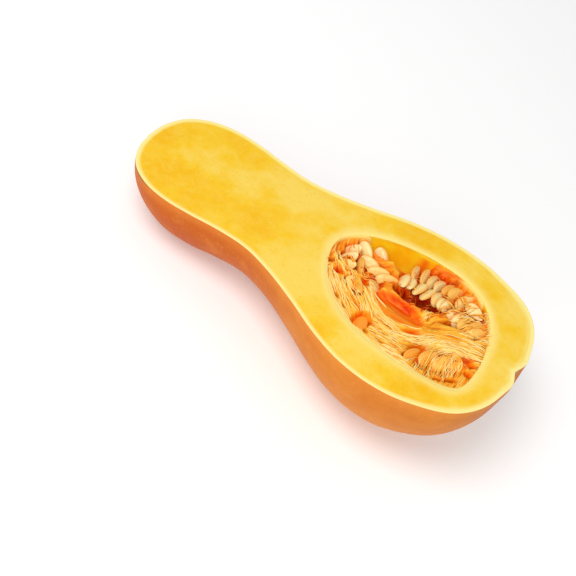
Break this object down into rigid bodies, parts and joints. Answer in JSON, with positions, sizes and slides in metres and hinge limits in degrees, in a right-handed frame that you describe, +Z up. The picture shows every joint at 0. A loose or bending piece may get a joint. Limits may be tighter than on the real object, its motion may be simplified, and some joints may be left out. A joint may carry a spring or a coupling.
{
  "type": "halved butternut squash",
  "caption": "Butternut squash half, cut lengthways, with a solid neck and a seed cavity of stringy pulp and seeds in the bulb, lying cut side up.",
  "frame": {"origin": "on the surface it lies on, under the middle of the half's bounding box", "axes": "+X from the stem end towards the blossom end, +Z up; the cut face looks up and slopes down towards the stem end"},
  "size_m": [0.2684, 0.137, 0.0848],
  "materials": {
    "rind": "smooth satin squash skin, tan orange with faint mottling and scuffs",
    "flesh": "moist cut squash flesh, mottled yellow, paler next to the skin and the cavity",
    "pulp": "wet stringy pulp, pale yellow at the cut to deep orange red in the hollow",
    "seed": "smooth cream seed coat with a raised rim, slightly wet"
  },
  "bodies": {
    "root": {"rind": "rind", "flesh": "flesh", "pulp": "pulp", "seed_01": "seed", "seed_02": "seed", "seed_03": "seed", "seed_04": "seed", "seed_05": "seed", "seed_06": "seed", "seed_07": "seed", "seed_08": "seed", "seed_09": "seed", "seed_10": "seed", "seed_11": "seed", "seed_12": "seed", "seed_13": "seed", "seed_14": "seed", "seed_15": "seed", "seed_16": "seed", "seed_17": "seed", "seed_18": "seed", "seed_19": "seed", "seed_20": "seed", "seed_21": "seed", "seed_22": "seed", "seed_23": "seed", "seed_24": "seed", "seed_25": "seed", "seed_26": "seed", "seed_27": "seed", "seed_28": "seed", "seed_29": "seed", "seed_30": "seed", "seed_31": "seed", "seed_32": "seed", "seed_33": "seed", "seed_34": "seed", "seed_35": "seed", "seed_36": "seed"}
  },
  "joints": []
}
